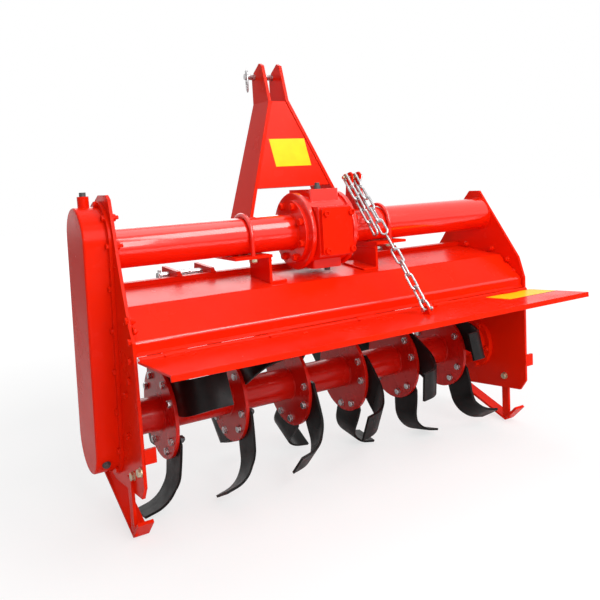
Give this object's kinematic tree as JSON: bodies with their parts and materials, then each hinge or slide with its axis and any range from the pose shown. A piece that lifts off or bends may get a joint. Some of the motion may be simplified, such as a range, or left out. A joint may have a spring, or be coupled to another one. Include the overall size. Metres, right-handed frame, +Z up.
{
  "type": "rotary tiller",
  "caption": "Tractor-mounted rotary tiller with a side gear drive, bladed rotor under a bent deck, hinged tail board on a chain, skids and a three-point hitch.",
  "frame": {"origin": "on the input shaft's axis, in the middle of its free end", "axes": "+X across the machine to the side without the gear case, +Y along the direction of travel towards the tractor, +Z up"},
  "size_m": [1.397, 0.7218, 1.2235],
  "materials": {
    "red paint": "gloss",
    "blade black": "satin",
    "zinc": "bright zinc",
    "shaft steel": "machined",
    "plug grey": "matt"
  },
  "bodies": {
    "frame": {"beam_left": "red paint", "beam_right": "red paint", "case_breather": "plug grey", "chain_hanger": "red paint", "deck": "red paint", "deck_rail": "red paint", "gear_case": "red paint", "gearbox_cover": "red paint", "gearbox_housing": "red paint", "gearbox_plugs": "plug grey", "hanger_pin": "zinc", "hinge_rod": "shaft steel", "input_cap": "red paint", "lower_hitch_left": "red paint", "lower_hitch_right": "red paint", "lower_pins": "zinc", "mast_plates": "red paint", "mast_web": "red paint", "rotor_bearing": "red paint", "saddle_left": "red paint", "saddle_right": "red paint", "side_plate_left": "red paint", "side_plate_right": "red paint", "skid_left": "red paint", "skid_right": "red paint", "top_pin": "zinc", "u_bolts": "red paint"},
    "rotor": {"blades_left": "blade black", "blades_right": "blade black", "rotor": "red paint"},
    "tail_board": {"chain_eye": "red paint", "tail_board": "red paint"},
    "chain_bottom": {"chain_lower": "zinc", "chain_shackle": "zinc"},
    "chain_top": {"chain_upper": "zinc"},
    "input_shaft": {"pto_shaft": "shaft steel"}
  },
  "joints": [
    {"name": "rotor_spin", "type": "hinge", "parent": "frame", "child": "rotor", "pos_m": [0, -0.163, -0.455], "axis": [1, 0, 0], "continuous": true},
    {"name": "input_spin", "type": "hinge", "parent": "frame", "child": "input_shaft", "pos_m": [0, 0, 0], "axis": [0, 1, 0], "continuous": true},
    {"name": "tail_board_hinge", "type": "hinge", "parent": "frame", "child": "tail_board", "pos_m": [0, -0.402, -0.243], "axis": [1, 0, 0], "range_deg": [0, 62]},
    {"name": "chain_top_swing", "type": "hinge", "parent": "frame", "child": "chain_top", "pos_m": [0.168, -0.186, 0.146], "axis": [1, 0, 0], "range_deg": [-0.5, 4]},
    {"name": "chain_bottom_swing", "type": "hinge", "parent": "tail_board", "child": "chain_bottom", "pos_m": [0.168, -0.496, -0.2234], "axis": [1, 0, 0], "range_deg": [-51, 1]}
  ],
  "couplings": [
    {"joint": "input_spin", "follows": "rotor_spin", "ratio": 2.5},
    {"joint": "chain_top_swing", "follows": "tail_board_hinge", "ratio": 0.05},
    {"joint": "chain_bottom_swing", "follows": "tail_board_hinge", "ratio": -0.8}
  ]
}
